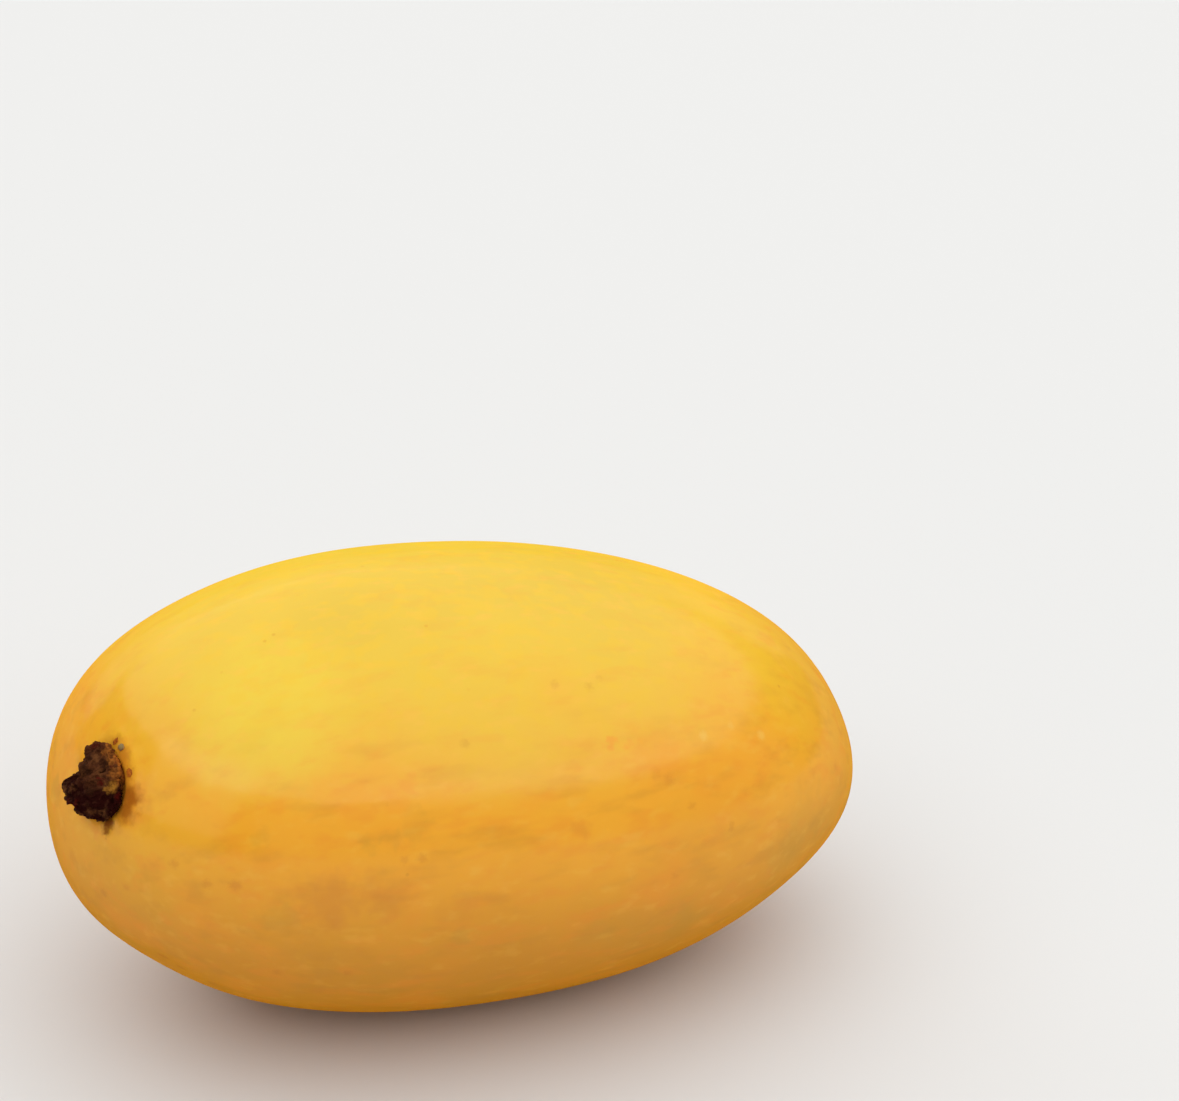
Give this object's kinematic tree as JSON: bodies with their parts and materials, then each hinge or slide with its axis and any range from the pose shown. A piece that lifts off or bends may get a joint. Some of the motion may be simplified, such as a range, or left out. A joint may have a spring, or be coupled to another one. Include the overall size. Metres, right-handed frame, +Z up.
{
  "type": "mango",
  "caption": "Ripe yellow mango, a whole oblong fruit lying on its cheek, with the broken woody stub of its stalk.",
  "frame": {"origin": "middle of the whole mango's footprint, on the surface that it rests on", "axes": "+X along the fruit's length from the stem end to the apex, +Z up from the cheek that it rests on, -Y towards the belly edge"},
  "size_m": [0.1146, 0.0698, 0.0599],
  "materials": {
    "mango_skin": "smooth waxy fruit skin, golden yellow above and amber to ochre below, with fine pores",
    "dry_stalk": "dry, ragged, nearly black-brown stalk, matt"
  },
  "bodies": {
    "root": {"fruit": "mango_skin", "stem_stub": "dry_stalk"}
  },
  "joints": []
}
